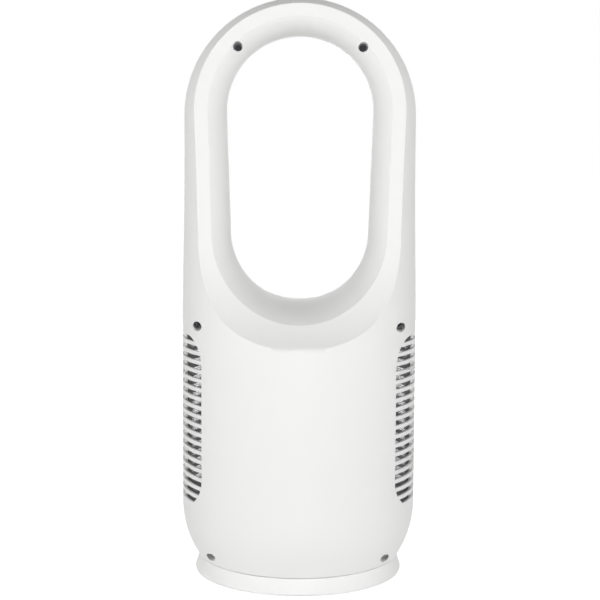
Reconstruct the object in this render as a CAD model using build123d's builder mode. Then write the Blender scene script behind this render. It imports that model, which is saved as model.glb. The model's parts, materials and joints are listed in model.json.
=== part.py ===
from build123d import *

import os
from math import acos, asin, atan2, cos, degrees, pi, radians, sin, sqrt, tan

# A bladeless tower fan. Millimetres, +Z up, the origin on the floor under the tower's axis.
# The air leaves to the front (-Y). The back, with its screw wells, faces +Y.

os.makedirs("parts", exist_ok=True)

# Overall form
total_height = 600.0
loop_radius = 120.0  # half width of the loop, and the radius of its domed top
body_radius = 122.6
wall = 2.5
taper_from = 240.0  # the body narrows to the loop between these two heights
taper_to = 440.0
bulb_top = 75.0  # the body rounds in below this height
bulb_radius = 100.0

# Base
floor_gap = 1.8
rim_radius = 109.5
rim_height = 4.2
neck_radius = 104.7
deck_top = 18.5
neck_gap = 0.8  # shadow gap between the base and the tower
base_wall = 2.4
deck_hole_radius = 60.0
plate_thickness = 3.0
plate_fit = 0.3

# Swoops: each face of the loop is a leaning plane that runs out in an arc
rear_face_y = 46.8  # at the top of the loop
rear_lean = 4.4
rear_swoop_from = 354.0
rear_swoop_radius = 144.0
front_face_y = 46.0
front_lean = 5.0
front_swoop_from = 350.0
front_swoop_radius = 130.0
swoop_end = 62.0  # degrees from upright where each swoop's arc is outside the body

# Opening of the loop: a slot with a larger round top than bottom
opening_top_z = 485.0
opening_top_radius = 75.7
opening_bottom_z = 360.0
opening_bottom_radius = 71.4
outline_points = 12  # along each round end of the opening
funnel_reach = 16.6  # from the throat out to the rear ridge
funnel_sweep = 60.0  # degrees of arc in the funnel's section
throat_y = 16.0
lip_y = 5.0

# Air slit and front wall of the opening
slit = 1.8
slit_overlap = 6.0
nozzle_reach = 8.5  # from the throat out to the front edge
nozzle_sweep = 30.0
shell_fit = 0.2
spacer_count = 10
spacer_width = 2.0
spacer_gap = 0.1

# Screws and the wells that they sit in
well_radius = 4.75
well_wall = 1.5
well_floor = 2.2
loop_screw = (63.0, 547.0)
side_screw = (102.6, 267.0)
lower_screw = (88.8, 28.9)
loop_well_y = 24.0
side_well_y = 30.0
lower_well_y = 46.0
screw_radius = 1.5
screw_head_radius = 3.2
screw_head_height = 1.5
shell_screw_length = 16.0
pilot_spare = 2.0  # a pilot hole is this much deeper than its screw
recess_length = 3.6
recess_width = 0.9
recess_depth = 1.0
screw_slack = 0.05
shank_slack = 0.3
head_slack = 0.3
boss_radius = 3.6
front_boss_x = 62.0
front_boss_y = 72.0
front_boss_height = 12.0
rib_width = 3.0

# Side grilles, one rounded window of level slots a side
grille_half_width = 73.5
grille_top = 256.0
grille_bottom = 81.3
grille_top_corner = 28.0
grille_bottom_corner = 45.0
slot_count = 19
slot_height = 5.2
slot_pitch = 9.23
seam_rim = 3.0  # solid strip that each shell keeps along the seam
backing_half_width = 24.5  # the slots are blind this far each side of the seam
backing_thickness = 2.0
mesh_thickness = 0.8
mesh_gap = 0.25
mesh_margin = 6.0

# Fan housing and impeller
ledge_height = 2.0
ledge_width = 5.0
flange_thickness = 2.1
flange_gap = 0.6
duct_radius = 74.0
housing_wall = 2.0
flare_top = 185.0
flare_bottom = 120.0
flare_radius = 97.0
tip_gap = 1.2
impeller_bottom = 182.0
impeller_top = 222.0
blade_count = 9
blade_thickness = 2.0
blade_chord = 40.0
blade_sink = 4.0  # how far a blade reaches into the hub
blade_middle_radius = 50.0
blade_root_pitch = 52.0
blade_middle_pitch = 38.0
blade_tip_pitch = 28.0
hub_bottom_radius = 24.0
hub_top_radius = 35.0
nose_height = 12.0
hub_nose_gap = 2.0  # solid stuff between the shaft's end and the nose
shaft_radius = 4.0
shaft_slack = 0.06

# Stator and fan motor
stator_bottom = 227.0
stator_top = 256.0
cup_radius = 36.0
cup_wall = 2.5
vane_count = 11
vane_thickness = 1.8
sleeve_thickness = 2.2
part_gap = 0.15
motor_height = 22.0
cap_rise = 5.0

# Turntable and swing drive
turntable_radius = 101.6
turntable_thickness = 2.8
turntable_screw_length = 10.0
block_half_width = 6.0
block_end = 1.0  # solid end of a screw block past its pilot hole
glide_inner_radius = 66.0
glide_outer_radius = 76.0
glide_sink = 0.5
glide_rise = 1.0
swing_gap = 0.2
post_radius = 11.7
post_bore_radius = 8.0
post_flange_radius = 20.0
post_flange_thickness = 2.5
hub_wall = 5.7
hub_drop = 10.7
bearing_slack = 0.08
clip_thickness = 1.2
clip_groove = 0.7
clip_width = 4.4
clip_gap = 0.15
clip_margin = 1.6
clip_mouth = 14.0
gear_module = 1.25
pinion_teeth = 15
sector_teeth = 75
sector_half_angle = 66.0
pressure_angle = 20.0
gear_backlash = 0.3
gear_height = 8.0
gear_rim = 4.5
gear_root_depth = 1.25  # below the pitch circle, in modules
sector_tip_height = 0.8  # above the pitch circle, in modules
flank_points = 3
tooth_cut_spare = 1.0
pinion_height = 5.5
pinion_lift = 2.0
swing_shaft_radius = 2.5
swing_motor_radius = 21.0
swing_motor_height = 14.0
swing_motor_round = 1.5
swing_ear = 5.0
swing_ear_thickness = 1.5
swing_shaft_depth = 6.0

# Fasteners and feet of the base
base_screw_circle = 92.0
base_screw_count = 6
base_screw_length = 9.0
rim_toe = 1.0
rim_round = 2.0
neck_round = 0.6
foot_start = 30.0
foot_chamfer = 0.5
post_boss_radius = 4.0
foot_radius = 7.5
foot_sink = 1.0
foot_slack = 0.2
gland_radius = 6.0
gland_bore_radius = 3.6
gland_y = 70.0
gland_flange = 2.0
gland_flange_thickness = 1.2
cord_notch_width = 36.0
cord_notch_height = 1.3

# Front panel
window_z = 222.0
window_width = 64.0
window_height = 24.0
window_corner = 6.0
window_thickness = 1.5
window_ledge = 2.5
window_fit = 0.15
key_z = 184.0
key_count = 4
key_pitch = 20.0
key_radius = 6.2
key_hole_gap = 0.3
key_lip = 1.2
key_lip_thickness = 1.5
key_lip_gap = 0.2
key_stem_radius = 2.0
key_travel = 0.8
key_stem_gap = 0.1
board_setback = 18.6  # from the front of the body back to the board
board_thickness = 1.6
board_width = 84.0
board_height = 84.0
board_z = 203.0
board_post_radius = 3.0
board_inset = 5.0
board_screw_length = 8.0
switch_size = 6.0
switch_height = 4.0
module_width = 46.0
module_height = 16.0
module_depth = 6.0

# Power board on the turntable
power_width = 110.0
power_depth = 56.0
power_y = 52.0
power_lift = 7.5
standoff_radius = 3.5
standoff_inset = 5.0
transformer_x = 34.0
transformer_width = 26.0
transformer_height = 20.0
capacitor_radius = 6.5
capacitor_height = 22.0
capacitor_gap = 1.0
heat_sink_x = 4.0
heat_sink_fins = 4
heat_sink_fin = 1.6
heat_sink_pitch = 5.0

# Worked out from the values above
arch_z = total_height - loop_radius
tower_bottom = deck_top + neck_gap
plate_top = floor_gap + plate_thickness
glide_top = deck_top + glide_rise
turntable_bottom = glide_top + swing_gap
turntable_top = turntable_bottom + turntable_thickness
ledge_top = grille_top + ledge_height
pinion_pitch_radius = gear_module * pinion_teeth / 2
sector_pitch_radius = gear_module * sector_teeth / 2
pinion_offset = sector_pitch_radius - pinion_pitch_radius
board_y = body_radius - board_setback
reach = 2 * body_radius  # longer than any cut needs to be
key_columns = [(index - (key_count - 1) / 2) * key_pitch for index in range(key_count)]


def body_inner_y(x):
    """Distance from the axis plane to the inner face of the straight body at one x."""
    return sqrt((body_radius - wall) ** 2 - x**2)


def swoop_y(z, face_y, lean, swoop_from, swoop_radius):
    """Distance behind the axis plane of a loop face at height z."""
    lean_angle = radians(lean)
    start_y = face_y + (total_height - swoop_from) * tan(lean_angle)
    if z >= swoop_from:
        return face_y + (total_height - z) * tan(lean_angle)
    turn = asin(sin(lean_angle) + (swoop_from - z) / swoop_radius)
    return start_y + swoop_radius * (cos(lean_angle) - cos(turn))


def rear_y(z):
    return swoop_y(z, rear_face_y, rear_lean, rear_swoop_from, rear_swoop_radius)


def front_y(z):
    return swoop_y(z, front_face_y, front_lean, front_swoop_from, front_swoop_radius)


def turned_form(inset, bottom):
    """The tower as a turned body: bulb, straight body, taper and domed top."""
    bulb_centre = body_radius - bulb_radius
    arc = bulb_radius - inset
    foot_angle = degrees(asin((bulb_top - bottom) / arc))
    with BuildPart() as form:
        with BuildSketch(Plane.XZ):
            with BuildLine():
                bulb = CenterArc((bulb_centre, bulb_top), arc, -foot_angle, foot_angle)
                side = Line((body_radius - inset, bulb_top), (body_radius - inset, taper_from))
                taper = Spline(
                    (body_radius - inset, taper_from),
                    (loop_radius - inset, taper_to),
                    tangents=((0, 1), (0, 1)),
                )
                upper = Line((loop_radius - inset, taper_to), (loop_radius - inset, arch_z))
                dome = CenterArc((0, arch_z), loop_radius - inset, 0, 90)
                Polyline(dome @ 1, (0, bottom), bulb @ 0)
            make_face()
        revolve(axis=Axis.Z)
    return form.part


def swoop_cutter(side, inset, face_y, lean, swoop_from, swoop_radius):
    """Everything beyond one face of the loop. side is +1 behind and -1 in front."""
    lean_angle = radians(lean)
    start_y = face_y + (total_height - swoop_from) * tan(lean_angle)
    centre_y = start_y + swoop_radius * cos(lean_angle)
    centre_z = swoop_from + swoop_radius * sin(lean_angle)
    arc = swoop_radius + inset
    bend_y = centre_y - arc * cos(lean_angle)
    bend_z = centre_z - arc * sin(lean_angle)
    head = total_height + wall
    head_y = bend_y - (head - bend_z) * tan(lean_angle)
    with BuildPart() as cutter:
        with BuildSketch(Plane.YZ):
            with BuildLine():
                Line((head_y, head), (bend_y, bend_z))
                curve = CenterArc((centre_y, centre_z), arc, 180 + lean, swoop_end - lean)
                Polyline(curve @ 1, (reach, (curve @ 1).Y), (reach, head), (head_y, head))
            make_face()
            if side < 0:
                mirror(about=Plane.YZ, mode=Mode.REPLACE)
        extrude(amount=reach, both=True)
    return cutter.part


def tower_form(inset, bottom):
    """The closed outer form of the tower, drawn in by inset."""
    with BuildPart() as form:
        add(turned_form(inset, bottom))
        add(
            swoop_cutter(1, inset, rear_face_y, rear_lean, rear_swoop_from, rear_swoop_radius),
            mode=Mode.SUBTRACT,
        )
        add(
            swoop_cutter(-1, inset, front_face_y, front_lean, front_swoop_from, front_swoop_radius),
            mode=Mode.SUBTRACT,
        )
    return form.part


def slot_wire(extra, place):
    """A closed wire round the loop's opening, extra outside the throat.

    place(x, z, extra) gives the point's distance from the axis plane.
    """
    top = opening_top_radius + extra
    low = opening_bottom_radius + extra
    tilt = asin((low - top) / (opening_top_z - opening_bottom_z))

    def point(radius, height, angle):
        x = radius * cos(angle)
        z = height + radius * sin(angle)
        return Vector(x, place(x, z), z)

    upper_turn = pi - 2 * tilt
    lower_turn = pi + 2 * tilt
    shares = [index / outline_points for index in range(outline_points + 1)]
    upper = [point(top, opening_top_z, tilt + upper_turn * share) for share in shares]
    lower = [point(low, opening_bottom_z, pi - tilt + lower_turn * share) for share in shares]
    edges = [
        Edge.make_spline(upper),
        Edge.make_line(upper[-1], lower[0]),
        Edge.make_spline(lower),
        Edge.make_line(lower[-1], upper[0]),
    ]
    return Wire(edges)


def funnel(side, grow, start_y, start_extra, ridge_extra, sweep, face, steps=9):
    """The air way from the throat out to one face of the loop, wider by grow.

    Its section is part of an ellipse: flat at the throat and steep at the ridge.
    """
    last = radians(sweep)
    rise = ridge_extra - start_extra
    wires = [slot_wire(start_extra + grow, lambda x, z: -side * reach)]
    extra_at_ridge = 0
    for index in range(steps + 1):
        angle = last * index / steps
        out = rise * (1 - cos(angle)) / (1 - cos(last))
        along = sin(angle) / sin(last)
        slope_out = rise * sin(angle) / (1 - cos(last))
        slope_along = cos(angle) / sin(last)

        def place(x, z, out=out, along=along, slope_out=slope_out, slope_along=slope_along):
            ridge_z = z + (ridge_extra - start_extra - out) * wall_direction(x, z)
            span = face(ridge_z) - start_y
            length = sqrt(slope_out**2 + (slope_along * span) ** 2)
            return side * (start_y + along * span - grow * slope_out / length)

        middle_span = face(opening_bottom_z) - start_y
        length = sqrt(slope_out**2 + (slope_along * middle_span) ** 2)
        extra_at_ridge = start_extra + out + grow * slope_along * middle_span / length
        wires.append(slot_wire(extra_at_ridge, place))
    wires.append(slot_wire(extra_at_ridge, lambda x, z: side * reach))
    return Solid.make_loft(wires, ruled=True)


def wall_direction(x, z):
    """Vertical share of the direction out of the opening at one point."""
    if z > opening_top_z:
        return (z - opening_top_z) / sqrt(x**2 + (z - opening_top_z) ** 2)
    if z < opening_bottom_z:
        return (z - opening_bottom_z) / sqrt(x**2 + (z - opening_bottom_z) ** 2)
    return 0.0


def rear_funnel(grow):
    return funnel(1, grow, throat_y, 0.0, funnel_reach, funnel_sweep, rear_y)


def front_funnel(grow):
    start_extra = wall + slit
    start_y = -lip_y - slit_overlap
    return funnel(-1, grow, start_y, start_extra, nozzle_reach, nozzle_sweep, front_y, steps=3)


def opening_block(extra, low_y, high_y):
    """A straight block with the opening's outline."""
    low_wire = slot_wire(extra, lambda x, z: low_y)
    high_wire = slot_wire(extra, lambda x, z: high_y)
    return Solid.make_loft([low_wire, high_wire], ruled=True)


def rods_along_y(spots, radius, low_y, high_y):
    """Round rods along Y at each (x, z) and its mirror image."""
    places = [(side * x, z) for x, z in spots for side in (-1, 1)]
    with BuildPart() as rods:
        with BuildSketch(Plane.XZ.offset(-high_y)):
            with Locations(*places):
                Circle(radius)
        extrude(amount=high_y - low_y)
    return rods.part


outer_form = tower_form(0.0, tower_bottom)
inner_form = tower_form(wall, tower_bottom - wall)

with BuildPart() as rear_hollow:
    add(inner_form)
    add(rear_funnel(wall), mode=Mode.SUBTRACT)


def grille_slots(side):
    """The slots of both grilles on one half of the tower, +1 behind and -1 in front."""
    first = grille_top - slot_height / 2
    depth = grille_half_width - seam_rim
    with BuildPart() as slots:
        for index in range(slot_count):
            with Locations((0, side * (seam_rim + depth / 2), first - index * slot_pitch)):
                Box(reach, depth, slot_height)
        with BuildSketch(Plane.YZ):
            with Locations((0, (grille_top + grille_bottom) / 2)):
                window = Rectangle(2 * grille_half_width, grille_top - grille_bottom)
            fillet(window.vertices().group_by(Axis.Z)[-1], grille_top_corner)
            fillet(window.vertices().group_by(Axis.Z)[0], grille_bottom_corner)
        extrude(amount=reach, both=True, mode=Mode.INTERSECT)
        Cylinder(flare_radius, 2 * total_height, mode=Mode.SUBTRACT)
    return slots.part


def slot_backing(side):
    """Wall behind the slots beside the seam, +1 behind and -1 in front."""
    low = grille_bottom - mesh_margin / 2
    with BuildPart() as backing:
        with BuildSketch(Plane.XY.offset(low)):
            Circle(body_radius - wall)
            Circle(body_radius - wall - backing_thickness, mode=Mode.SUBTRACT)
        extrude(amount=grille_top - low)
        with BuildSketch(Plane.XZ):
            Rectangle(2 * reach, 2 * total_height)
        extrude(amount=-side * backing_half_width, mode=Mode.INTERSECT)
    return backing.part


def housing_ledge():
    """Ring inside both shells that the fan housing's flange stands on."""
    with BuildPart() as ledge:
        with BuildSketch(Plane.XY.offset(grille_top)):
            Circle(body_radius - wall / 2)
            Circle(body_radius - wall - ledge_width, mode=Mode.SUBTRACT)
        extrude(amount=ledge_height)
        add(outer_form, mode=Mode.INTERSECT)
    return ledge.part


well_spots = [
    (loop_screw, loop_well_y),
    (side_screw, side_well_y),
    (lower_screw, lower_well_y),
]

# Rear shell: outer skin, throat with its lip, screw wells and the rear slots
with BuildPart() as well_posts:
    for spot, floor_y in well_spots:
        add(rods_along_y([spot], well_radius + well_wall, floor_y - well_floor, reach))
    add(outer_form, mode=Mode.INTERSECT)

with BuildPart() as rear_shell:
    add(outer_form)
    add(rear_hollow.part, mode=Mode.SUBTRACT)
    add(housing_ledge())
    add(well_posts.part)
    add(rear_funnel(0.0), mode=Mode.SUBTRACT)
    split(bisect_by=Plane.XZ, keep=Keep.BOTTOM)
    add(opening_block(wall + slit / 2, -reach, lip_y), mode=Mode.SUBTRACT)
    for spot, floor_y in well_spots:
        add(rods_along_y([spot], well_radius, floor_y, reach), mode=Mode.SUBTRACT)
        add(rods_along_y([spot], screw_radius + shank_slack, 0, floor_y), mode=Mode.SUBTRACT)
    add(grille_slots(1), mode=Mode.SUBTRACT)
    add(slot_backing(1))
rear_shell.part.label = "rear_shell"
export_step(rear_shell.part, "parts/rear_shell.step")

# Front shell: outer skin with the opening, pillars for the screws, panel holes and front slots
pillar_spots = [(loop_screw, loop_well_y), (side_screw, side_well_y)]
board_spots = [
    (board_width / 2 - board_inset, board_z + end * (board_height / 2 - board_inset))
    for end in (-1, 1)
]
front_boss_places = [(side * front_boss_x, -front_boss_y) for side in (-1, 1)]


def window_block(grow, depth):
    """The window's outline in the front skin of the body, down to one depth."""
    with BuildPart() as block:
        with BuildSketch(Plane.XZ):
            with Locations((0, window_z)):
                RectangleRounded(window_width + 2 * grow, window_height + 2 * grow, window_corner)
        extrude(amount=reach)
        add(turned_form(0.0, tower_bottom), mode=Mode.INTERSECT)
        add(turned_form(depth, tower_bottom), mode=Mode.SUBTRACT)
    return block.part


with BuildPart() as front_pillars:
    for spot, floor_y in pillar_spots:
        add(rods_along_y([spot], boss_radius, -reach, floor_y - well_floor))
    add(rods_along_y(board_spots, board_post_radius, -reach, -board_y))
    with BuildSketch(Plane.XY.offset(turntable_top)):
        with Locations(*front_boss_places):
            Circle(post_boss_radius)
        for x, y in front_boss_places:
            with Locations(Location((x, y), degrees(atan2(y, x)))):
                Rectangle(reach, rib_width, align=(Align.MIN, Align.CENTER))
    extrude(amount=front_boss_height)
    add(outer_form, mode=Mode.INTERSECT)

with BuildPart() as panel_holes:
    with BuildSketch(Plane.XZ):
        with Locations((0, window_z)):
            RectangleRounded(
                window_width - 2 * window_ledge,
                window_height - 2 * window_ledge,
                window_corner - window_ledge,
            )
        with Locations(*[(x, key_z) for x in key_columns]):
            Circle(key_radius + key_hole_gap)
    extrude(amount=reach)

with BuildPart() as front_shell:
    add(outer_form)
    add(inner_form, mode=Mode.SUBTRACT)
    add(housing_ledge())
    split(bisect_by=Plane.XZ, keep=Keep.TOP)
    add(front_pillars.part)
    add(front_funnel(wall + shell_fit), mode=Mode.SUBTRACT)
    for spot, floor_y in pillar_spots:
        pilot_end = floor_y - shell_screw_length - pilot_spare
        add(rods_along_y([spot], screw_radius + screw_slack, pilot_end, reach), mode=Mode.SUBTRACT)
    pilot_end = -board_y - board_screw_length + board_thickness - pilot_spare
    add(rods_along_y(board_spots, screw_radius + screw_slack, pilot_end, 0), mode=Mode.SUBTRACT)
    with BuildSketch(Plane.XY.offset(turntable_top)):
        with Locations(*front_boss_places):
            Circle(screw_radius + screw_slack)
    extrude(amount=front_boss_height - pilot_spare, mode=Mode.SUBTRACT)
    add(panel_holes.part, mode=Mode.SUBTRACT)
    add(window_block(window_fit, window_thickness + part_gap), mode=Mode.SUBTRACT)
    add(grille_slots(-1), mode=Mode.SUBTRACT)
    add(slot_backing(-1))
front_shell.part.label = "front_shell"
export_step(front_shell.part, "parts/front_shell.step")

# Nozzle ring: the front wall of the opening, kept off the throat's lip by spacers
opening_middle = (opening_top_z + opening_bottom_z) / 2

with BuildPart() as spacers:
    add(opening_block(wall + slit + wall / 2, lip_y + spacer_gap, lip_y + slit_overlap))
    add(opening_block(wall + spacer_gap, lip_y, lip_y + slit_overlap), mode=Mode.SUBTRACT)
    with BuildSketch(Plane.XZ):
        with Locations((0, opening_middle)):
            with PolarLocations(0, spacer_count):
                Rectangle(reach, spacer_width, align=(Align.MIN, Align.CENTER))
    extrude(amount=reach, both=True, mode=Mode.INTERSECT)

with BuildPart() as nozzle_ring:
    add(front_funnel(wall))
    add(outer_form, mode=Mode.INTERSECT)
    add(
        opening_block(wall + slit + nozzle_reach + wall, -reach, lip_y + slit_overlap),
        mode=Mode.INTERSECT,
    )
    add(front_funnel(0.0), mode=Mode.SUBTRACT)
    add(spacers.part)
nozzle_ring.part.label = "nozzle_ring"
export_step(nozzle_ring.part, "parts/nozzle_ring.step")


def screw(head_plane, length):
    """A pan-head screw. Its head stands on head_plane and its shank goes the other way."""
    with BuildPart() as one:
        with BuildSketch(head_plane):
            Circle(screw_head_radius)
        extrude(amount=screw_head_height)
        with BuildSketch(head_plane):
            Circle(screw_radius)
        extrude(amount=-length)
        with BuildSketch(head_plane.offset(screw_head_height)):
            Rectangle(recess_length, recess_width)
            Rectangle(recess_width, recess_length)
        extrude(amount=-recess_depth, mode=Mode.SUBTRACT)
    return one.part


# Screws at the bottom of the six wells
with BuildPart() as shell_screws:
    for (x, z), floor_y in well_spots:
        for side in (-1, 1):
            seat = Plane(origin=(side * x, floor_y, z), x_dir=(1, 0, 0), z_dir=(0, 1, 0))
            add(screw(seat, shell_screw_length))
shell_screws.part.label = "shell_screws"
export_step(shell_screws.part, "parts/shell_screws.step")

# Display window in the front skin
with BuildPart() as display_window:
    add(window_block(0.0, window_thickness))
display_window.part.label = "display_window"
export_step(display_window.part, "parts/display_window.step")

# Four push keys in a row: a button in the skin, a lip behind it and a stem to the board
key_names = ["power_key", "speed_key", "timer_key", "swing_key"]
stem_end_y = -board_y - switch_height - key_stem_gap - key_travel
for key_name, key_x in zip(key_names, key_columns):
    lip_y_front = -(body_inner_y(abs(key_x) + key_radius + key_lip) - key_lip_gap)
    with BuildPart() as key:
        with BuildSketch(Plane.XZ.offset(-lip_y_front)):
            with Locations((key_x, key_z)):
                Circle(key_radius)
        extrude(amount=reach)
        add(turned_form(0.0, tower_bottom), mode=Mode.INTERSECT)
        with BuildSketch(Plane.XZ.offset(-lip_y_front)):
            with Locations((key_x, key_z)):
                Circle(key_radius + key_lip)
        extrude(amount=-key_lip_thickness)
        with BuildSketch(Plane.XZ.offset(-lip_y_front)):
            with Locations((key_x, key_z)):
                Circle(key_stem_radius)
        extrude(amount=lip_y_front - stem_end_y)
    key.part.label = key_name
    export_step(key.part, f"parts/{key_name}.step")

# Control board with its switches and the display behind the window
with BuildPart() as control_board:
    with BuildSketch(Plane.XZ.offset(board_y - board_thickness)):
        with Locations((0, board_z)):
            Rectangle(board_width, board_height)
        with Locations(*[(side * x, z) for x, z in board_spots for side in (-1, 1)]):
            Circle(screw_radius + shank_slack, mode=Mode.SUBTRACT)
    extrude(amount=board_thickness)
    with BuildSketch(Plane.XZ.offset(board_y)):
        with Locations(*[(x, key_z) for x in key_columns]):
            Rectangle(switch_size, switch_size)
    extrude(amount=switch_height)
    with BuildSketch(Plane.XZ.offset(board_y)):
        with Locations((0, window_z)):
            Rectangle(module_width, module_height)
    extrude(amount=module_depth)
control_board.part.label = "control_board"
export_step(control_board.part, "parts/control_board.step")

with BuildPart() as board_screws:
    for x, z in board_spots:
        for side in (-1, 1):
            seat = Plane(
                origin=(side * x, board_thickness - board_y, z), x_dir=(1, 0, 0), z_dir=(0, 1, 0)
            )
            add(screw(seat, board_screw_length))
board_screws.part.label = "board_screws"
export_step(board_screws.part, "parts/board_screws.step")

# Dust meshes behind the slots
for mesh_name, side in (("intake_mesh_left", 1), ("intake_mesh_right", -1)):
    mesh_outer = body_radius - wall - backing_thickness - mesh_gap
    with BuildPart() as mesh:
        with BuildSketch(Plane.XY.offset(grille_bottom - mesh_margin / 2)):
            Circle(mesh_outer)
            Circle(mesh_outer - mesh_thickness, mode=Mode.SUBTRACT)
        extrude(amount=grille_top - grille_bottom + mesh_margin / 2 - mesh_gap)
        with BuildSketch(Plane.YZ):
            Rectangle(2 * (grille_half_width + mesh_margin), 2 * total_height)
        extrude(amount=side * reach, mode=Mode.INTERSECT)
    mesh.part.label = mesh_name
    export_step(mesh.part, f"parts/{mesh_name}.step")

# Fan housing: flange on the ledge, straight duct and bell mouth
bell_drop = flare_top - flare_bottom
bell_out = flare_radius - duct_radius - housing_wall
bell_radius = (bell_drop**2 + bell_out**2) / (2 * bell_out)
bell_turn = degrees(asin(bell_drop / bell_radius))
with BuildPart() as fan_housing:
    with BuildSketch(Plane.XZ):
        with BuildLine():
            bell_centre = (duct_radius + housing_wall + bell_radius, flare_top)
            outside = CenterArc(bell_centre, bell_radius, 180, bell_turn)
            inside = CenterArc(bell_centre, bell_radius + housing_wall, 180, bell_turn)
            Line(outside @ 1, inside @ 1)
            Polyline(
                outside @ 0,
                (duct_radius + housing_wall, ledge_top),
                (body_radius - wall - flange_gap, ledge_top),
                (body_radius - wall - flange_gap, ledge_top + flange_thickness),
                (duct_radius, ledge_top + flange_thickness),
                inside @ 0,
            )
        make_face()
    revolve(axis=Axis.Z)
    add(tower_form(wall + flange_gap, tower_bottom), mode=Mode.INTERSECT)
fan_housing.part.label = "fan_housing"
export_step(fan_housing.part, "parts/fan_housing.step")

# Impeller: conical hub with a round nose, and twisted blades
shaft_bottom = impeller_bottom + hub_nose_gap
blade_tip_radius = duct_radius - tip_gap
blade_sections = [
    (hub_bottom_radius - blade_sink, blade_root_pitch),
    (blade_middle_radius, blade_middle_pitch),
    (blade_tip_radius, blade_tip_pitch),
]
with BuildPart() as blade:
    for radius, pitch in blade_sections:
        plane = Plane(
            origin=(radius, 0, (impeller_bottom + impeller_top) / 2),
            x_dir=(0, cos(radians(pitch)), sin(radians(pitch))),
            z_dir=(1, 0, 0),
        )
        with BuildSketch(plane):
            SlotOverall(blade_chord, blade_thickness)
    loft()
    with BuildSketch():
        Circle(blade_tip_radius)
    extrude(amount=total_height, mode=Mode.INTERSECT)

with BuildPart() as impeller:
    with BuildSketch(Plane.XZ):
        with BuildLine():
            hub_side = Line((hub_bottom_radius, impeller_bottom), (hub_top_radius, impeller_top))
            nose = EllipticalCenterArc(
                (0, impeller_bottom), hub_bottom_radius, nose_height, start_angle=270, arc_size=90
            )
            Polyline(hub_side @ 1, (0, impeller_top), nose @ 0)
        make_face()
    revolve(axis=Axis.Z)
    for index in range(blade_count):
        add(blade.part.rotate(Axis.Z, 360 / blade_count * index))
    with BuildSketch(Plane.XY.offset(shaft_bottom)):
        Circle(shaft_radius + screw_slack)
    extrude(amount=impeller_top - shaft_bottom, mode=Mode.SUBTRACT)
impeller.part.label = "impeller"
export_step(impeller.part, "parts/impeller.step")

# Stator: guide vanes between a ring and the motor cup
cup_floor = stator_bottom + cup_wall
with BuildPart() as stator:
    with BuildSketch(Plane.XY.offset(stator_bottom)):
        Circle(duct_radius - part_gap)
        Circle(duct_radius - part_gap - cup_wall, mode=Mode.SUBTRACT)
        Circle(cup_radius)
        with PolarLocations((duct_radius - cup_wall + cup_radius) / 2, vane_count):
            Rectangle(duct_radius - cup_wall - cup_radius + cup_wall / 2, vane_thickness)
    extrude(amount=stator_top - stator_bottom)
    with BuildSketch(Plane.XY.offset(cup_floor)):
        Circle(cup_radius - cup_wall)
    extrude(amount=stator_top - cup_floor, mode=Mode.SUBTRACT)
    with BuildSketch(Plane.XY.offset(stator_bottom)):
        Circle(shaft_radius + cup_wall / 2)
    extrude(amount=cup_wall, mode=Mode.SUBTRACT)
stator.part.label = "stator"
export_step(stator.part, "parts/stator.step")

sleeve_radius = cup_radius - cup_wall - part_gap
with BuildPart() as motor_sleeve:
    with BuildSketch(Plane.XY.offset(cup_floor)):
        Circle(sleeve_radius)
        Circle(sleeve_radius - sleeve_thickness, mode=Mode.SUBTRACT)
    extrude(amount=motor_height - cup_wall)
motor_sleeve.part.label = "motor_sleeve"
export_step(motor_sleeve.part, "parts/motor_sleeve.step")

motor_radius = sleeve_radius - sleeve_thickness - part_gap
with BuildPart() as fan_motor:
    with BuildSketch(Plane.XY.offset(cup_floor)):
        Circle(motor_radius)
    extrude(amount=motor_height)
    fillet(fan_motor.edges().group_by(Axis.Z)[-1], cup_wall / 2)
    with BuildSketch(Plane.XY.offset(cup_floor)):
        Circle(shaft_radius + shaft_slack)
    extrude(amount=motor_height - cup_wall, mode=Mode.SUBTRACT)
fan_motor.part.label = "fan_motor"
export_step(fan_motor.part, "parts/fan_motor.step")

with BuildPart() as motor_shaft:
    with BuildSketch(Plane.XY.offset(shaft_bottom)):
        Circle(shaft_radius)
    extrude(amount=cup_floor + motor_height - cup_wall - part_gap - shaft_bottom)
motor_shaft.part.label = "motor_shaft"
export_step(motor_shaft.part, "parts/motor_shaft.step")

cap_radius = (cup_radius**2 + cap_rise**2) / (2 * cap_rise)
cap_turn = degrees(asin(cup_radius / cap_radius))
with BuildPart() as motor_cap:
    with BuildSketch(Plane.XZ):
        with BuildLine():
            dome = CenterArc(
                (0, stator_top + cap_rise - cap_radius), cap_radius, 90 - cap_turn, cap_turn
            )
            Polyline(dome @ 1, (0, stator_top), dome @ 0)
        make_face()
    revolve(axis=Axis.Z)
motor_cap.part.label = "motor_cap"
export_step(motor_cap.part, "parts/motor_cap.step")

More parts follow.
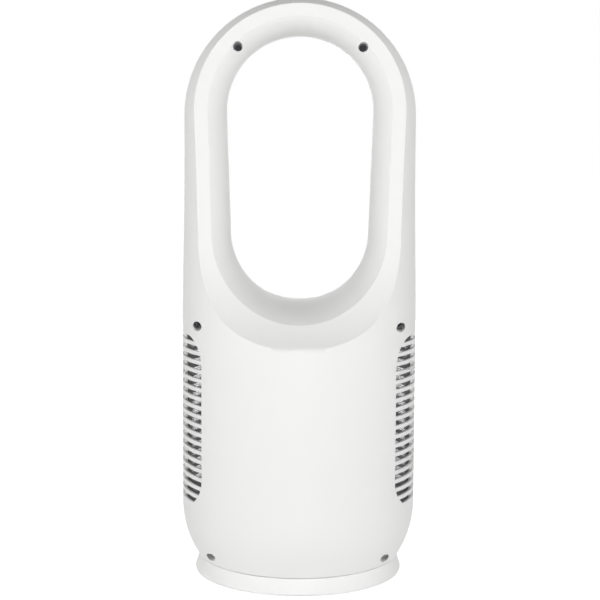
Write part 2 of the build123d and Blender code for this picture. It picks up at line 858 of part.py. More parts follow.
# Turntable: floor of the tower, with the hub round the post and blocks for the lower screws
hub_radius = post_radius + hub_wall
motor_place = (0, -pinion_offset)
standoffs = [
    (side * (power_width / 2 - standoff_inset), power_y + end * (power_depth / 2 - standoff_inset))
    for side in (-1, 1)
    for end in (-1, 1)
]
with BuildPart() as turntable:
    with BuildSketch(Plane.XY.offset(turntable_bottom)):
        Circle(turntable_radius)
    extrude(amount=turntable_thickness)
    with BuildSketch(Plane.XY.offset(turntable_bottom - hub_drop)):
        Circle(hub_radius)
    extrude(amount=hub_drop)
    with BuildSketch(Plane.XY.offset(turntable_top)):
        with Locations(*standoffs):
            Circle(standoff_radius)
    extrude(amount=power_lift)
    x, z = lower_screw
    pilot_end = lower_well_y - well_floor - shell_screw_length - pilot_spare
    block_front = pilot_end - block_end
    with BuildSketch(Plane.XY.offset(turntable_top)):
        with Locations((-x, block_front), (x, block_front)):
            Rectangle(
                2 * block_half_width,
                lower_well_y - well_floor - block_front,
                align=(Align.CENTER, Align.MIN),
            )
    extrude(amount=z + block_half_width - turntable_top)
    add(
        rods_along_y([lower_screw], screw_radius + screw_slack, pilot_end, lower_well_y),
        mode=Mode.SUBTRACT,
    )
    with BuildSketch(Plane.XY.offset(turntable_bottom - hub_drop)):
        Circle(post_radius + bearing_slack)
        with Locations(motor_place):
            Circle(swing_shaft_radius + shank_slack)
        with Locations(*front_boss_places):
            Circle(screw_radius + shank_slack)
    extrude(amount=hub_drop + turntable_thickness, mode=Mode.SUBTRACT)
    with BuildSketch(Plane.XY.offset(turntable_bottom)):
        with Locations(*front_boss_places):
            Circle(screw_head_radius + head_slack)
    extrude(amount=screw_head_height + part_gap, mode=Mode.SUBTRACT)
turntable.part.label = "turntable"
export_step(turntable.part, "parts/turntable.step")

with BuildPart() as turntable_screws:
    for x, y in front_boss_places:
        seat = Plane(
            origin=(x, y, turntable_bottom + screw_head_height + part_gap),
            x_dir=(1, 0, 0),
            z_dir=(0, 0, -1),
        )
        add(screw(seat, turntable_screw_length))
turntable_screws.part.label = "turntable_screws"
export_step(turntable_screws.part, "parts/turntable_screws.step")

# Power board on its standoffs
power_bottom = turntable_top + power_lift
power_top = power_bottom + board_thickness
with BuildPart() as power_board:
    with BuildSketch(Plane.XY.offset(power_bottom)):
        with Locations((0, power_y)):
            Rectangle(power_width, power_depth)
    extrude(amount=board_thickness)
    with BuildSketch(Plane.XY.offset(power_top)):
        with Locations((-transformer_x, power_y)):
            Rectangle(transformer_width, transformer_width)
    extrude(amount=transformer_height)
    with BuildSketch(Plane.XY.offset(power_top)):
        with Locations((0, power_y), (2 * capacitor_radius + capacitor_gap, power_y)):
            Circle(capacitor_radius)
    extrude(amount=capacitor_height)
    with BuildSketch(Plane.XY.offset(power_top)):
        with Locations((transformer_x + heat_sink_x, power_y)):
            with GridLocations(heat_sink_pitch, 0, heat_sink_fins, 1):
                Rectangle(heat_sink_fin, transformer_width)
    extrude(amount=transformer_height)
power_board.part.label = "power_board"
export_step(power_board.part, "parts/power_board.step")

# Swing motor over the pinion
motor_floor = turntable_top + part_gap
with BuildPart() as swing_motor:
    with BuildSketch(Plane.XY.offset(motor_floor)):
        with Locations(motor_place):
            Circle(swing_motor_radius)
    extrude(amount=swing_motor_height)
    fillet(swing_motor.edges().group_by(Axis.Z)[-1], swing_motor_round)
    with BuildSketch(Plane.XY.offset(motor_floor)):
        with Locations(motor_place):
            SlotOverall(2 * (swing_motor_radius + swing_ear), 2 * swing_ear)
    extrude(amount=swing_ear_thickness)
    with BuildSketch(Plane.XY.offset(motor_floor)):
        with Locations(motor_place):
            Circle(swing_shaft_radius + shaft_slack)
    extrude(amount=swing_shaft_depth + part_gap, mode=Mode.SUBTRACT)
swing_motor.part.label = "swing_motor"
export_step(swing_motor.part, "parts/swing_motor.step")


def involute(angle):
    return tan(angle) - angle


def half_tooth(teeth, radius, backlash):
    """Half the angle of one involute tooth at a radius, in radians."""
    base = gear_module * teeth / 2 * cos(radians(pressure_angle))
    there = acos(min(1.0, base / radius))
    return pi / (2 * teeth) + involute(radians(pressure_angle)) - involute(there) - backlash / radius


def tooth_corners(teeth, radii, backlash, middle):
    """One tooth's corners from the root up one flank and down the other."""
    left = [(radius, middle - half_tooth(teeth, radius, backlash)) for radius in radii]
    right = [(radius, middle + half_tooth(teeth, radius, backlash)) for radius in reversed(radii)]
    return [(radius * cos(angle), radius * sin(angle)) for radius, angle in left + right]


# Swing pinion with its shaft, one tooth pointing straight out at the sector
pinion_bottom = plate_top + pinion_lift
pinion_base = pinion_pitch_radius * cos(radians(pressure_angle))
pinion_tip = pinion_pitch_radius + gear_module
pinion_root = pinion_pitch_radius - gear_root_depth * gear_module
pinion_radii = [
    pinion_base + (pinion_tip - pinion_base) * index / flank_points
    for index in range(flank_points + 1)
]
with BuildPart() as swing_pinion:
    with BuildSketch(Plane.XY.offset(pinion_bottom)):
        for index in range(pinion_teeth):
            middle = -pi / 2 + 2 * pi * index / pinion_teeth
            corners = tooth_corners(pinion_teeth, pinion_radii, gear_backlash / 2, middle)
            shifted = [(x, y - pinion_offset) for x, y in [(0, 0)] + corners]
            with BuildLine():
                Polyline(*shifted, close=True)
            make_face()
        with Locations(motor_place):
            Circle(pinion_root)
    extrude(amount=pinion_height)
    with BuildSketch(Plane.XY.offset(pinion_bottom + pinion_height)):
        with Locations(motor_place):
            Circle(swing_shaft_radius)
    extrude(amount=motor_floor + swing_shaft_depth - pinion_bottom - pinion_height)
swing_pinion.part.label = "swing_pinion"
export_step(swing_pinion.part, "parts/swing_pinion.step")

# Gear sector on the base plate: its gaps have the outline of a gear's teeth
sector_tip = sector_pitch_radius - sector_tip_height * gear_module
sector_root = sector_pitch_radius + gear_root_depth * gear_module
sector_radii = [
    sector_tip + (sector_root - sector_tip) * index / flank_points
    for index in range(flank_points + 1)
]
cut_radius = sector_tip - tooth_cut_spare
tooth_step = 2 * pi / sector_teeth
gaps_a_side = int(radians(sector_half_angle) / tooth_step)
with BuildPart() as gear_sector:
    with BuildSketch(Plane.XY.offset(plate_top)):
        with BuildLine():
            edge_angle = -90 - sector_half_angle
            outside = CenterArc((0, 0), sector_root + gear_rim, edge_angle, 2 * sector_half_angle)
            inside = CenterArc((0, 0), sector_tip, edge_angle, 2 * sector_half_angle)
            Line(outside @ 0, inside @ 0)
            Line(outside @ 1, inside @ 1)
        make_face()
        for index in range(-gaps_a_side, gaps_a_side + 1):
            middle = -pi / 2 + index * tooth_step
            corners = tooth_corners(sector_teeth, sector_radii, 0.0, middle)
            inner = [
                (cut_radius * cos(angle), cut_radius * sin(angle))
                for angle in (middle + tooth_step / 4, middle - tooth_step / 4)
            ]
            with BuildLine():
                Polyline(*corners, *inner, close=True)
            make_face(mode=Mode.SUBTRACT)
    extrude(amount=gear_height)
gear_sector.part.label = "gear_sector"
export_step(gear_sector.part, "parts/gear_sector.step")

# Pivot post, hollow for the supply lead, and its clip over the turntable's hub
clip_bottom = turntable_top + clip_gap
post_top = clip_bottom + clip_thickness + clip_margin
with BuildPart() as pivot_post:
    with BuildSketch(Plane.XY.offset(plate_top)):
        Circle(post_flange_radius)
    extrude(amount=post_flange_thickness)
    with BuildSketch(Plane.XY.offset(plate_top)):
        Circle(post_radius)
    extrude(amount=post_top - plate_top)
    with BuildSketch(Plane.XY.offset(clip_bottom)):
        Circle(reach)
        Circle(post_radius - clip_groove, mode=Mode.SUBTRACT)
    extrude(amount=clip_thickness, mode=Mode.SUBTRACT)
    with BuildSketch(Plane.XY.offset(plate_top)):
        Circle(post_bore_radius)
    extrude(amount=post_top - plate_top, mode=Mode.SUBTRACT)
pivot_post.part.label = "pivot_post"
export_step(pivot_post.part, "parts/pivot_post.step")

with BuildPart() as pivot_clip:
    with BuildSketch(Plane.XY.offset(clip_bottom)):
        Circle(post_radius - clip_groove + clip_width)
        Circle(post_radius - clip_groove, mode=Mode.SUBTRACT)
        Rectangle(reach, clip_mouth, align=(Align.MIN, Align.CENTER), mode=Mode.SUBTRACT)
    extrude(amount=clip_thickness)
pivot_clip.part.label = "pivot_clip"
export_step(pivot_clip.part, "parts/pivot_clip.step")

# Glide ring in the groove of the deck
with BuildPart() as glide_ring:
    with BuildSketch(Plane.XY.offset(deck_top - glide_sink)):
        Circle(glide_outer_radius)
        Circle(glide_inner_radius, mode=Mode.SUBTRACT)
    extrude(amount=glide_sink + glide_rise)
glide_ring.part.label = "glide_ring"
export_step(glide_ring.part, "parts/glide_ring.step")

# Base cover: flared rim, deck with the groove, posts for the screws and the cord's notch
plate_radius = rim_radius - base_wall - plate_fit
plate_seat_radius = rim_radius - base_wall
with BuildPart() as base_ring:
    with BuildSketch(Plane.XZ):
        with BuildLine():
            Polyline(
                (plate_seat_radius, floor_gap),
                (rim_radius - rim_toe, floor_gap),
                (rim_radius, rim_height),
                (neck_radius, deck_top),
                (deck_hole_radius, deck_top),
                (deck_hole_radius, deck_top - base_wall),
                (neck_radius - base_wall, deck_top - base_wall),
                (plate_seat_radius, plate_top),
                close=True,
            )
        profile = make_face()
        fillet(profile.vertices().sort_by_distance((rim_radius, rim_height))[0], rim_round)
        fillet(profile.vertices().sort_by_distance((neck_radius, deck_top))[0], neck_round)
    revolve(axis=Axis.Z)
    with BuildSketch(Plane.XY.offset(plate_top)):
        with PolarLocations(base_screw_circle, base_screw_count):
            Circle(post_boss_radius)
    extrude(amount=deck_top - base_wall - plate_top)
    with BuildSketch(Plane.XY.offset(plate_top)):
        with PolarLocations(base_screw_circle, base_screw_count):
            Circle(screw_radius + screw_slack)
    extrude(amount=base_screw_length, mode=Mode.SUBTRACT)
    with BuildSketch(Plane.XY.offset(deck_top - glide_sink)):
        Circle(glide_outer_radius + part_gap)
        Circle(glide_inner_radius - part_gap, mode=Mode.SUBTRACT)
    extrude(amount=glide_sink, mode=Mode.SUBTRACT)
    with BuildSketch(Plane.XZ.offset(-reach)):
        with Locations((0, floor_gap)):
            Rectangle(cord_notch_width, 2 * cord_notch_height)
    extrude(amount=reach, mode=Mode.SUBTRACT)
base_ring.part.label = "base_ring"
export_step(base_ring.part, "parts/base_ring.step")

# Base plate with its screw holes, foot pockets and the cord's hole
with BuildPart() as base_plate:
    with BuildSketch(Plane.XY.offset(floor_gap)):
        Circle(plate_radius)
        with PolarLocations(base_screw_circle, base_screw_count):
            Circle(screw_radius + shank_slack, mode=Mode.SUBTRACT)
        with Locations((0, gland_y)):
            Circle(gland_radius + part_gap, mode=Mode.SUBTRACT)
    extrude(amount=plate_thickness)
    with BuildSketch(Plane.XY.offset(floor_gap)):
        with PolarLocations(base_screw_circle, base_screw_count):
            Circle(screw_head_radius + head_slack)
    extrude(amount=screw_head_height + part_gap, mode=Mode.SUBTRACT)
    with BuildSketch(Plane.XY.offset(floor_gap)):
        with PolarLocations(base_screw_circle, base_screw_count, start_angle=foot_start):
            Circle(foot_radius + foot_slack)
    extrude(amount=foot_sink, mode=Mode.SUBTRACT)
base_plate.part.label = "base_plate"
export_step(base_plate.part, "parts/base_plate.step")

with BuildPart() as rubber_feet:
    with BuildSketch():
        with PolarLocations(base_screw_circle, base_screw_count, start_angle=foot_start):
            Circle(foot_radius)
    extrude(amount=floor_gap + foot_sink)
    chamfer(rubber_feet.edges().group_by(Axis.Z)[0], foot_chamfer)
rubber_feet.part.label = "rubber_feet"
export_step(rubber_feet.part, "parts/rubber_feet.step")

with BuildPart() as base_screws:
    for place in PolarLocations(base_screw_circle, base_screw_count).locations:
        seat = Plane(
            origin=(
                place.position.X,
                place.position.Y,
                floor_gap + screw_head_height + part_gap,
            ),
            x_dir=(1, 0, 0),
            z_dir=(0, 0, -1),
        )
        add(screw(seat, base_screw_length))
base_screws.part.label = "base_screws"
export_step(base_screws.part, "parts/base_screws.step")

# Rubber bush of the cord's hole
with BuildPart() as cord_gland:
    with BuildSketch(Plane.XY.offset(floor_gap)):
        with Locations((0, gland_y)):
            Circle(gland_radius)
    extrude(amount=plate_thickness)
    with BuildSketch(Plane.XY.offset(plate_top)):
        with Locations((0, gland_y)):
            Circle(gland_radius + gland_flange)
    extrude(amount=gland_flange_thickness)
    with BuildSketch(Plane.XY.offset(floor_gap)):
        with Locations((0, gland_y)):
            Circle(gland_bore_radius)
    extrude(amount=plate_thickness + gland_flange_thickness, mode=Mode.SUBTRACT)
cord_gland.part.label = "cord_gland"
export_step(cord_gland.part, "parts/cord_gland.step")
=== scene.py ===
# %% [markdown]
# This scene dresses a bladeless tower fan, seen from behind. The solids come from a packed
# model, with real sizes in metres, and they are the fixed frame here. Each gets the finish
# that its real piece has, and the few surfaces that a solid can't show are built below.

import json
import math

import bmesh
import bpy
import numpy as np
from mathutils import Euler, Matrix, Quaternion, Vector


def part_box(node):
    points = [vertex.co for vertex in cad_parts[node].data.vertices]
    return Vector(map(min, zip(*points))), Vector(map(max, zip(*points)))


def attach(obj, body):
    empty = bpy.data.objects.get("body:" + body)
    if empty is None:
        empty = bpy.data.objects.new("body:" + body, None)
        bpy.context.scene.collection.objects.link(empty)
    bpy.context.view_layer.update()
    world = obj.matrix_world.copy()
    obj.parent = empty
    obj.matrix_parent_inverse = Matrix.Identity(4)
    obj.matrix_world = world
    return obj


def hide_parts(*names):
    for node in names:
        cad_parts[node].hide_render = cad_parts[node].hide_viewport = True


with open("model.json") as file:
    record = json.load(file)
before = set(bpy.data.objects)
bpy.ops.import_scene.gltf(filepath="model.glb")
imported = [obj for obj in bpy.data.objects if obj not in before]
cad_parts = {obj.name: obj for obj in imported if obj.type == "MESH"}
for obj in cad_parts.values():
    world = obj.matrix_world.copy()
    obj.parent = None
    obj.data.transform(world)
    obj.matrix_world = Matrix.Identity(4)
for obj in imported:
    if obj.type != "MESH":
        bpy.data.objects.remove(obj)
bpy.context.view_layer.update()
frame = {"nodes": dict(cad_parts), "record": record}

# %% [markdown]
# The camera comes first. The photograph was taken from behind the fan, a little above its
# middle, with a long lens: the rim of the base shows as a thin ellipse, and the slots tilt.
# Its distance, height and pitch were worked out from those, so they are real sizes too.

# %% Camera
camera_distance = 1.4263
camera_height = 0.4299
camera_pitch = math.radians(5.7)
camera_roll = math.radians(0.31)
camera_offset = -0.0008
camera_lens_mm = 81.6
sensor_width_mm = 36.0

camera_data = bpy.data.cameras.new("camera")
camera_data.lens = camera_lens_mm
camera_data.sensor_width = sensor_width_mm
camera = bpy.data.objects.new("camera", camera_data)
bpy.context.scene.collection.objects.link(camera)
camera.location = (camera_offset, camera_distance, camera_height)
camera.rotation_mode = "QUATERNION"
level_look = Euler((math.pi / 2 - camera_pitch, 0, math.pi)).to_quaternion()
camera.rotation_quaternion = level_look @ Quaternion((0, 0, 1), camera_roll)
bpy.context.scene.camera = camera
bpy.context.scene.view_settings.view_transform = "Standard"
print("camera:", tuple(round(value, 4) for value in camera.location))

# %% [markdown]
# Colours are written as sRGB hex values, as a paint chart gives them. Shaders want linear
# light, so one function turns them over.

# %% Colours
def linear(hex_colour):
    """Linear RGBA of an sRGB hex colour.

    A channel c is c / 12.92 up to 0.04045, and ((c + 0.055) / 1.055) to the power 2.4 above.
    """
    parts = [int(hex_colour[start : start + 2], 16) / 255 for start in (1, 3, 5)]
    curve = [part / 12.92 if part <= 0.04045 else ((part + 0.055) / 1.055) ** 2.4 for part in parts]
    return (*curve, 1.0)


print("grey #808080 is", round(linear("#808080")[0], 3), "in linear light")

# %% [markdown]
# Each material here is a small tree of nodes. One function adds a node with its settings and
# links, and another starts a plastic or a metal with the one shader that both need.

# %% Nodes
def add_node(tree, kind, inputs=None, **settings):
    """Adds one shader node. inputs gives a socket a value, or another node's output to read."""
    made = tree.nodes.new(kind)
    for name, value in settings.items():
        setattr(made, name, value)
    for name, value in (inputs or {}).items():
        if isinstance(value, bpy.types.NodeSocket):
            tree.links.new(value, made.inputs[name])
        else:
            made.inputs[name].default_value = value
    return made


def start_material(name, colour, roughness, metallic=0.0, ior=1.5):
    """A material with one Principled shader, and the tree and shader to go on from.

    An IOR of 1.5 is the shader's own default.
    """
    material = bpy.data.materials.new(name)
    material.use_nodes = True
    tree = material.node_tree
    shader = tree.nodes["Principled BSDF"]
    shader.inputs["Base Color"].default_value = linear(colour)
    shader.inputs["Roughness"].default_value = roughness
    shader.inputs["Metallic"].default_value = metallic
    shader.inputs["IOR"].default_value = ior
    return material, tree, shader


# %% [markdown]
# Moulded plastic and turned metal are never quite smooth. A noise gives their grain, and the
# same noise varies the roughness a little, as handling does.

# %% Grain
mm_per_metre = 1000
grain_detail = 2.0
noise_low = 0.3  # most of the noise lies between these two values
noise_high = 0.7


def add_grain(tree, shader, size_mm, depth_mm, normal=None):
    """Fine moulded grain: noise with lumps of size_mm, pushed in and out by depth_mm."""
    place = add_node(tree, "ShaderNodeTexCoord").outputs["Object"]
    noise = add_node(
        tree,
        "ShaderNodeTexNoise",
        {"Vector": place, "Scale": mm_per_metre / size_mm, "Detail": grain_detail},
    )
    bump = add_node(
        tree,
        "ShaderNodeBump",
        {"Height": noise.outputs["Fac"], "Distance": depth_mm / mm_per_metre, "Strength": 1.0},
    )
    if normal is not None:
        tree.links.new(normal, bump.inputs["Normal"])
    tree.links.new(bump.outputs["Normal"], shader.inputs["Normal"])
    return noise


def vary_roughness(tree, shader, noise, low, high):
    """Roughness that follows a noise between two values, as handled plastic has."""
    spread = add_node(
        tree,
        "ShaderNodeMapRange",
        {
            "Value": noise.outputs["Fac"],
            "From Min": noise_low,
            "From Max": noise_high,
            "To Min": low,
            "To Max": high,
        },
    )
    tree.links.new(spread.outputs["Result"], shader.inputs["Roughness"])


materials = {}

# %% [markdown]
# Nearly all that shows is one plastic: white ABS, moulded in a spark-eroded tool. That leaves
# a satin skin, so light spreads softly over it and no sharp reflection shows. The grain is
# 0.1 mm in reality, and is drawn at 0.8 mm so that it shows at all. Moulded edges are never
# quite sharp, and a bevel node rounds the shading of each by about a millimetre. The specular
# level is half the usual 0.5, matched to the photograph: with more, the body's edges shine.

# %% White shell
edge_round_mm = 1.1
shell_grain_mm = 0.8
shell_grain_depth_mm = 0.006
shell_specular = 0.25
bevel_samples = 6
abs_ior = 1.53

material, tree, shader = start_material("white_satin_abs", "#F3F3F2", roughness=0.5, ior=abs_ior)
shader.inputs["Specular IOR Level"].default_value = shell_specular
edge_round = edge_round_mm / mm_per_metre
rounded = add_node(tree, "ShaderNodeBevel", {"Radius": edge_round}, samples=bevel_samples)
grain = add_grain(tree, shader, shell_grain_mm, shell_grain_depth_mm, rounded.outputs["Normal"])
vary_roughness(tree, shader, grain, low=0.46, high=0.56)
materials["white_shell"] = material
print(material.name, "with a grain of", shell_grain_mm, "mm")

# %% [markdown]
# The keys are the same ABS, but polished in the tool, so they carry a small clear highlight.

# %% Keys
material, tree, shader = start_material("polished_white_abs", "#F1F1F0", roughness=0.16, ior=abs_ior)
add_grain(tree, shader, size_mm=6.0, depth_mm=0.004)
materials["key_plastic"] = material
print(material.name, "for the keys")

# %% [markdown]
# Inner mouldings are plain unpainted ABS in a light grey, a little rougher than the shell.

# %% Inner plastic
material, tree, shader = start_material("light_grey_abs", "#D4D4D1", roughness=0.5, ior=abs_ior)
grain = add_grain(tree, shader, size_mm=1.2, depth_mm=0.01)
vary_roughness(tree, shader, grain, low=0.45, high=0.6)
materials["inner_plastic"] = material
print(material.name, "for the mouldings inside")

# %% [markdown]
# The dust mesh is woven from grey nylon monofilament, with a dull sheen. Where the eye grazes
# it the threads close up, so it greys the slots near the fan's edge and hardly shows beside them.

# %% Dust mesh
material, tree, shader = start_material("grey_nylon_thread", "#868688", roughness=0.5, ior=1.53)
grain = add_grain(tree, shader, size_mm=0.6, depth_mm=0.01)
vary_roughness(tree, shader, grain, low=0.4, high=0.6)
materials["dark_mesh"] = material
print(material.name, "for the dust meshes")

# %% [markdown]
# Feet, bush and motor sleeve are black rubber, which scatters light and hardly shines.

# %% Rubber
material, tree, shader = start_material("black_nitrile_rubber", "#1B1B1C", roughness=0.8, ior=1.52)
grain = add_grain(tree, shader, size_mm=0.9, depth_mm=0.03)
vary_roughness(tree, shader, grain, low=0.7, high=0.9)
materials["rubber"] = material
print(material.name, "for feet, bush and sleeve")

# %% [markdown]
# Metals keep the shader's default IOR, because their colour already says how they reflect.
# The screws are blackened steel. Shafts and the post are turned bright, and a die-cast can
# is duller and lumpier than turned metal. A row gives the name, the colour, the roughness, and
# the size and depth of the grain in millimetres.

# %% Metals
smoother_by = 0.06
rougher_by = 0.08
metal_finishes = {
    "screw_steel": ("blackened_screw_steel", "#3A3A3D", 0.42, 0.5, 0.008),
    "steel": ("turned_steel", "#BDBEC0", 0.28, 0.4, 0.004),
    "spring_steel": ("blackened_spring_steel", "#6A6A6E", 0.35, 0.5, 0.004),
    "motor_metal": ("die_cast_aluminium", "#B9BABD", 0.5, 1.4, 0.03),
}
for slot_name, (name, colour, roughness, grain_mm, depth_mm) in metal_finishes.items():
    material, tree, shader = start_material(name, colour, roughness, metallic=1.0)
    grain = add_grain(tree, shader, grain_mm, depth_mm)
    vary_roughness(tree, shader, grain, roughness - smoother_by, roughness + rougher_by)
    materials[slot_name] = material
print("metals:", ", ".join(metal_finishes))

# %% [markdown]
# Gears and the glide ring are natural acetal, a waxy off-white. A little light goes into it,
# so its shadows are warm, which a small amount of subsurface scattering gives. Red goes
# deepest and blue least.

# %% Acetal
acetal_scatter = 0.15
acetal_reach = (0.002, 0.0018, 0.0015)

material, tree, shader = start_material("natural_acetal", "#EAE8E0", roughness=0.35, ior=1.48)
shader.inputs["Subsurface Weight"].default_value = acetal_scatter
shader.inputs["Subsurface Radius"].default_value = acetal_reach
add_grain(tree, shader, size_mm=1.5, depth_mm=0.006)
materials["acetal"] = material
print(material.name, "for gears and glide ring")

# %% [markdown]
# The boards are glass epoxy under a green solder mask. Copper tracks under the mask show as
# slightly lighter bands, so a brick pattern with thin mortar stands for them. At 90 pattern
# units to the metre its rows, a quarter of a unit high, are 2.8 mm and its tracks 0.7 mm.

# %% Boards
track_scale = 90.0
track_half_width = 0.03

material, tree, shader = start_material("green_solder_mask", "#1F5B38", roughness=0.35, ior=1.55)
place = add_node(tree, "ShaderNodeTexCoord").outputs["Object"]
tracks = add_node(
    tree,
    "ShaderNodeTexBrick",
    {
        "Vector": place,
        "Scale": track_scale,
        "Color1": linear("#1C5434"),
        "Color2": linear("#205C39"),
        "Mortar": linear("#2F7A4C"),
        "Mortar Size": track_half_width,
    },
)
tree.links.new(tracks.outputs["Color"], shader.inputs["Base Color"])
materials["board"] = material
print(material.name, "for the boards")

# %% [markdown]
# The display sits behind smoked acrylic. It is so dark that it reads as black glass, with a
# clear reflection and almost no bump.

# %% Window
material, tree, shader = start_material("smoked_acrylic", "#121215", roughness=0.05, ior=1.49)
add_grain(tree, shader, size_mm=12.0, depth_mm=0.003)
materials["smoked_window"] = material
print(material.name, "for the display window")

# %% [markdown]
# Each solid has a slot in the record, which names its finish, so one loop dresses them all.

# %% Dress the solids
slot_of = {part["node"]: part["material_slot"] for part in frame["record"]["subparts"]}
for name, solid in frame["nodes"].items():
    for place in solid.material_slots:
        place.material = materials[slot_of[name]]
print("dressed:", len(slot_of), "nodes with", len(materials), "finishes")

# %% [markdown]
# A solid's mesh is loose triangles, and each would shade flat: the funnel of the loop, which
# is one soft sweep on the real moulding, would show as a stack of bands. The large mouldings
# are therefore copied, their corners are joined, and only edges sharper than a set angle stay
# sharp. The weighted normals keep flat faces flat beside small round ones.

# %% Smooth mouldings
sharp_from = math.radians(10)
join_within = 1e-6
bodies = frame["record"]["behaviour"]["bodies"]
body_of = {node: body for body, nodes in bodies.items() for node in nodes}


def smooth_copy(node):
    """A copy of a solid with the same points, joined where they meet, and smooth normals."""
    solid = frame["nodes"][node]
    mesh = solid.data.copy()
    shape = bmesh.new()
    shape.from_mesh(mesh)
    bmesh.ops.remove_doubles(shape, verts=shape.verts, dist=join_within)
    shape.to_mesh(mesh)
    shape.free()
    mesh.shade_smooth()
    mesh.set_sharp_from_angle(angle=sharp_from)
    piece = bpy.data.objects.new(node + "_moulding", mesh)
    bpy.context.scene.collection.objects.link(piece)
    weighted = piece.modifiers.new("weighted_normals", "WEIGHTED_NORMAL")
    weighted.keep_sharp = True
    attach(piece, body_of[node])
    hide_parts(node)
    print(piece.name, len(mesh.vertices), "points,", len(mesh.polygons), "triangles")


for node in ("rear_shell", "front_shell", "nozzle_ring", "base_ring", "fan_housing"):
    smooth_copy(node)

# %% [markdown]
# Behind the slots stands a woven dust mesh. A sheet with a bump can't be seen through, and
# here light parts show through it, so it is built thread by thread. A thread is so thin that
# a square tube is enough for it, and all threads of one direction are made as one array.

# %% Threads
thread_sides = 4


def tube_grid(paths, side, up, radius):
    """Vertices and faces of square tubes along many paths at once.

    paths is an array of threads by points by 3. Each point p gives four corners, which are
    p + side * r, p + up * r, p - side * r and p - up * r, where r is the thread's radius.
    """
    threads, points = paths.shape[:2]
    corners = np.stack([side, up, -side, -up], axis=2) * radius
    vertices = (paths[:, :, None, :] + corners).reshape(-1, 3)
    around = np.arange(thread_sides)
    thread, point, corner = np.meshgrid(
        np.arange(threads), np.arange(points - 1), around, indexing="ij"
    )
    near = (thread * points + point) * thread_sides
    far = near + thread_sides
    following = (corner + 1) % thread_sides
    faces = np.stack([near + corner, near + following, far + following, far + corner], axis=-1)
    starts = np.arange(threads)[:, None] * points * thread_sides
    ends = starts + (points - 1) * thread_sides
    caps = np.concatenate([starts + around[::-1], ends + around])
    return vertices, np.concatenate([faces.reshape(-1, thread_sides), caps])


# %% [markdown]
# The arrays become a mesh, which gets its finish and rides on the body that carries it.

# %% From arrays to a piece
def add_piece(name, vertices, faces, slot_name, body):
    """A mesh object at the origin, with its finish, on one body of the frame."""
    mesh = bpy.data.meshes.new(name)
    mesh.from_pydata(vertices.tolist(), [], faces.tolist())
    mesh.update()
    mesh.materials.append(materials[slot_name])
    piece = bpy.data.objects.new(name, mesh)
    bpy.context.scene.collection.objects.link(piece)
    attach(piece, body)
    return piece


# %% [markdown]
# Each net stands on the cylinder of the solid that it replaces, just inside the shell. A thread
# goes over one crossing thread and under the next. The threads are 0.36 mm thick and 2.2 mm
# apart. A real net is usually finer, but its threads would be lost in a picture of this size.

# %% Woven mesh
thread_pitch = 0.0022
thread_radius = 0.00018
weave_lift = 0.00014
sheet_thickness = 0.0008


def woven_mesh(name, node):
    """A net on the cylinder that its solid fills.

    A point at angle a and height h is (r cos a, r sin a, h), and the radius r goes up and
    down by the weave's lift in turn, with the opposite sign on the crossing threads.
    """
    low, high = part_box(node)
    side = 1 if low.x + high.x > 0 else -1
    outer = max(abs(low.x), abs(high.x))
    sheet = outer - sheet_thickness / 2
    reach_angle = math.asin((high.y - thread_radius) / outer)
    columns = int(2 * reach_angle * sheet / thread_pitch)
    rows = int((high.z - low.z - 2 * thread_radius) / thread_pitch)
    angles = np.linspace(-reach_angle, reach_angle, columns)
    heights = np.linspace(low.z + thread_radius, high.z - thread_radius, rows)
    angle, height = np.meshgrid(angles, heights, indexing="ij")
    turn = (-1.0) ** np.add.outer(np.arange(columns), np.arange(rows))
    outwards = np.stack([side * np.cos(angle), np.sin(angle), np.zeros_like(angle)], axis=-1)
    along = np.stack([-side * np.sin(angle), np.cos(angle), np.zeros_like(angle)], axis=-1)
    upwards = np.zeros_like(outwards)
    upwards[..., 2] = 1.0

    def points(sign):
        radius = sheet + sign * turn * weave_lift
        path = outwards * radius[..., None]
        path[..., 2] = height
        return path

    warp = tube_grid(points(1), outwards, along * side, thread_radius)
    swap = (1, 0, 2)
    weft = tube_grid(
        points(-1).transpose(swap),
        outwards.transpose(swap),
        upwards.transpose(swap) * side,
        thread_radius,
    )
    vertices = np.concatenate([warp[0], weft[0]])
    faces = np.concatenate([warp[1], weft[1] + len(warp[0])])
    piece = add_piece(name, vertices, faces, "dark_mesh", "tower")
    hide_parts(node)
    print(name, columns, "by", rows, "threads,", len(faces), "faces")


woven_mesh("dust_mesh_left", "intake_mesh_left")
woven_mesh("dust_mesh_right", "intake_mesh_right")

# %% [markdown]
# The photograph's background is paper white, but more light would burn out the fan's own white.
# So floor and room are made brighter only for the rays that the camera sees, straight or by a
# mirror or glass. The scattered light that falls on the fan stays plain.

# %% Seen by the camera
def seen_directly(tree):
    """1 for what the camera sees, straight or by mirror or glass, and 0 for scattered light."""
    path = add_node(tree, "ShaderNodeLightPath")
    glossy = add_node(
        tree,
        "ShaderNodeMath",
        {0: path.outputs["Is Camera Ray"], 1: path.outputs["Is Glossy Ray"]},
        operation="MAXIMUM",
    )
    return add_node(
        tree,
        "ShaderNodeMath",
        {0: glossy.outputs[0], 1: path.outputs["Is Transmission Ray"]},
        operation="MAXIMUM",
    ).outputs[0]


# %% [markdown]
# The floor is a plain pale sheet, so wide that its far edge lies close under the horizon. Its
# shader adds light of its own to the rays that the camera sees. The fan's shadow stays faintly,
# because the added light is the same in the shadow and beside it.

# %% Floor
floor_half = 30.0
floor_lift = 0.86
corners = [(x * floor_half, y * floor_half, 0.0) for x, y in ((-1, -1), (1, -1), (1, 1), (-1, 1))]
floor_mesh = bpy.data.meshes.new("floor")
floor_mesh.from_pydata(corners, [], [(0, 1, 2, 3)])
floor = bpy.data.objects.new("floor", floor_mesh)
bpy.context.scene.collection.objects.link(floor)

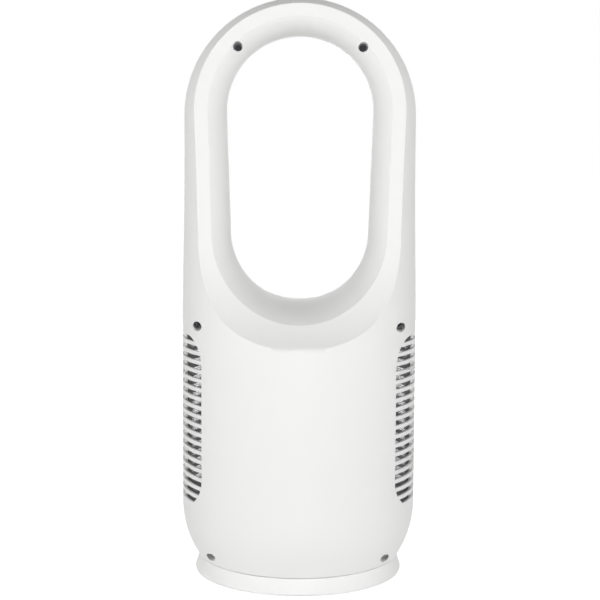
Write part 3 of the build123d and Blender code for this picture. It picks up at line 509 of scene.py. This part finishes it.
floor_material = bpy.data.materials.new("white_paper_floor")
floor_material.use_nodes = True
tree = floor_material.node_tree
tree.nodes.clear()
paper = add_node(tree, "ShaderNodeBsdfDiffuse", {"Color": linear("#F4F4F4")})
lift = add_node(
    tree,
    "ShaderNodeMath",
    {0: seen_directly(tree), 1: floor_lift},
    operation="MULTIPLY",
)
glow = add_node(tree, "ShaderNodeEmission", {"Strength": lift.outputs[0]})
both = add_node(tree, "ShaderNodeAddShader", {0: paper.outputs[0], 1: glow.outputs[0]})
add_node(tree, "ShaderNodeOutputMaterial", {"Surface": both.outputs[0]})
floor_mesh.materials.append(floor_material)
print("floor:", 2 * floor_half, "m wide")

# %% [markdown]
# The room is a plain white world. The light that it throws on the fan is dim, and dimmer
# overhead, which leaves the top of the loop grey as in the photograph. Rays that the camera
# sees get a strength of 1 instead, which is paper white.

# %% Room
room_low = 0.36  # strength at the horizon and below
room_high = 0.10  # strength straight overhead
seen_strength = 1.0

world = bpy.data.worlds.new("white_room")
bpy.context.scene.world = world
world.use_nodes = True
tree = world.node_tree
tree.nodes.clear()
direction = add_node(tree, "ShaderNodeTexCoord").outputs["Generated"]
split = add_node(tree, "ShaderNodeSeparateXYZ", {"Vector": direction})
overhead = add_node(
    tree,
    "ShaderNodeMapRange",
    {
        "Value": split.outputs["Z"],
        "From Min": 0.0,
        "From Max": 1.0,
        "To Min": room_low,
        "To Max": room_high,
    },
)
strength = add_node(
    tree,
    "ShaderNodeMix",
    {"Factor": seen_directly(tree), "A": overhead.outputs["Result"], "B": seen_strength},
)
room = add_node(tree, "ShaderNodeBackground", {"Strength": strength.outputs["Result"]})
room.inputs["Color"].default_value = linear("#FFFFFF")
add_node(tree, "ShaderNodeOutputWorld", {"Surface": room.outputs[0]})
print("room:", room_low, "at the horizon,", room_high, "overhead")

# %% [markdown]
# The body looks evenly white in the photograph and only its very edges turn grey. The main lamp
# stands behind the camera and a little above it. Alone it would shade the body from the middle
# outwards, so a weaker one stands on each side, as in a product studio. A small one beyond the
# fan lights its front. A row gives a lamp's place and size in metres, and its power in watts.

# %% Lamps
target_height = 0.28
lamps = {
    "rear_softbox": ((0.0, 2.1, 0.68), 1.6, 24.0),
    "left_softbox": ((1.85, 0.80, 0.60), 1.2, 10.8),
    "right_softbox": ((-1.85, 0.80, 0.60), 1.2, 10.0),
    "front_softbox": ((0.0, -2.3, 0.50), 0.8, 7.0),
}


def add_softbox(name, place, size, power):
    """A square lamp, hidden from the camera, which faces the fan's axis at the target height."""
    data = bpy.data.lights.new(name, "AREA")
    data.energy = power
    data.size = size
    lamp = bpy.data.objects.new(name, data)
    bpy.context.scene.collection.objects.link(lamp)
    lamp.location = place
    x, y, z = np.array(place) - (0, 0, target_height)
    lamp.rotation_euler = (math.atan2(math.hypot(x, y), z), 0, math.atan2(y, x) + math.pi / 2)
    lamp.visible_camera = False


for name, (place, size, power) in lamps.items():
    add_softbox(name, place, size, power)
print("lamps:", ", ".join(lamps))
